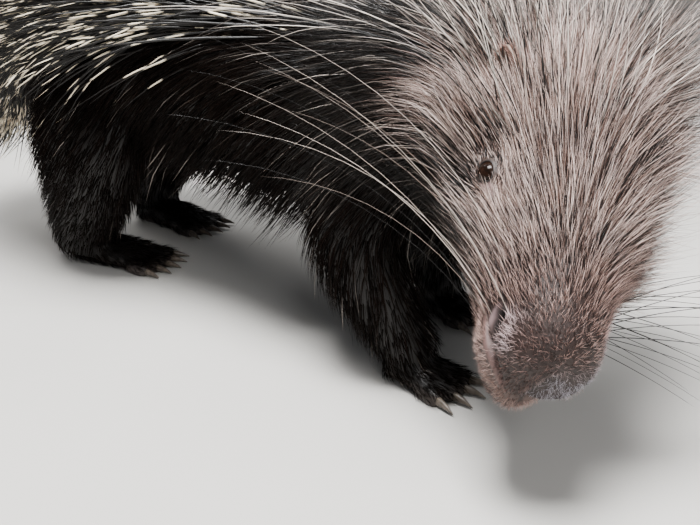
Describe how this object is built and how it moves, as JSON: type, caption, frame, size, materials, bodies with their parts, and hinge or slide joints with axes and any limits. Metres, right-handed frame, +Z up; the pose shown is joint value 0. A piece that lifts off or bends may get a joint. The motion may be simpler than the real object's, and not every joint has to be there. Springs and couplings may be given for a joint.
{
  "type": "porcupine",
  "caption": "Life-size model of an adult crested porcupine, standing with its head lowered and turned to its right, with quills, crest, bristly coat and long whiskers.",
  "frame": {"origin": "on the floor, under the middle of the bounding box", "axes": "+X toward the front of the body, +Y to the animal's left, +Z up"},
  "size_m": [0.9412, 0.4156, 0.3946],
  "materials": {
    "body_coat": "near-black brown bristles with fine pale grey streaks, and black quills banded with cream",
    "head_coat": "grey-brown bristles with a silvery sheen, bare pinkish lips and lids",
    "leg_coat": "short black-brown bristles over dark soles",
    "ear_skin": "soft beige skin with thin fuzz",
    "eye": "wet dark brown",
    "claw": "dull greyish horn"
  },
  "bodies": {
    "root": {"torso": "body_coat", "neck": "body_coat", "head": "head_coat", "tail": "body_coat", "ear_left": "ear_skin", "ear_right": "ear_skin", "eye_left": "eye", "eye_right": "eye", "front_leg_left": "leg_coat", "front_leg_right": "leg_coat", "hind_leg_left": "leg_coat", "hind_leg_right": "leg_coat", "front_claw_left_1": "claw", "front_claw_left_2": "claw", "front_claw_left_3": "claw", "front_claw_left_4": "claw", "front_claw_right_1": "claw", "front_claw_right_2": "claw", "front_claw_right_3": "claw", "front_claw_right_4": "claw", "hind_claw_left_1": "claw", "hind_claw_left_2": "claw", "hind_claw_left_3": "claw", "hind_claw_left_4": "claw", "hind_claw_left_5": "claw", "hind_claw_right_1": "claw", "hind_claw_right_2": "claw", "hind_claw_right_3": "claw", "hind_claw_right_4": "claw", "hind_claw_right_5": "claw"}
  },
  "joints": []
}
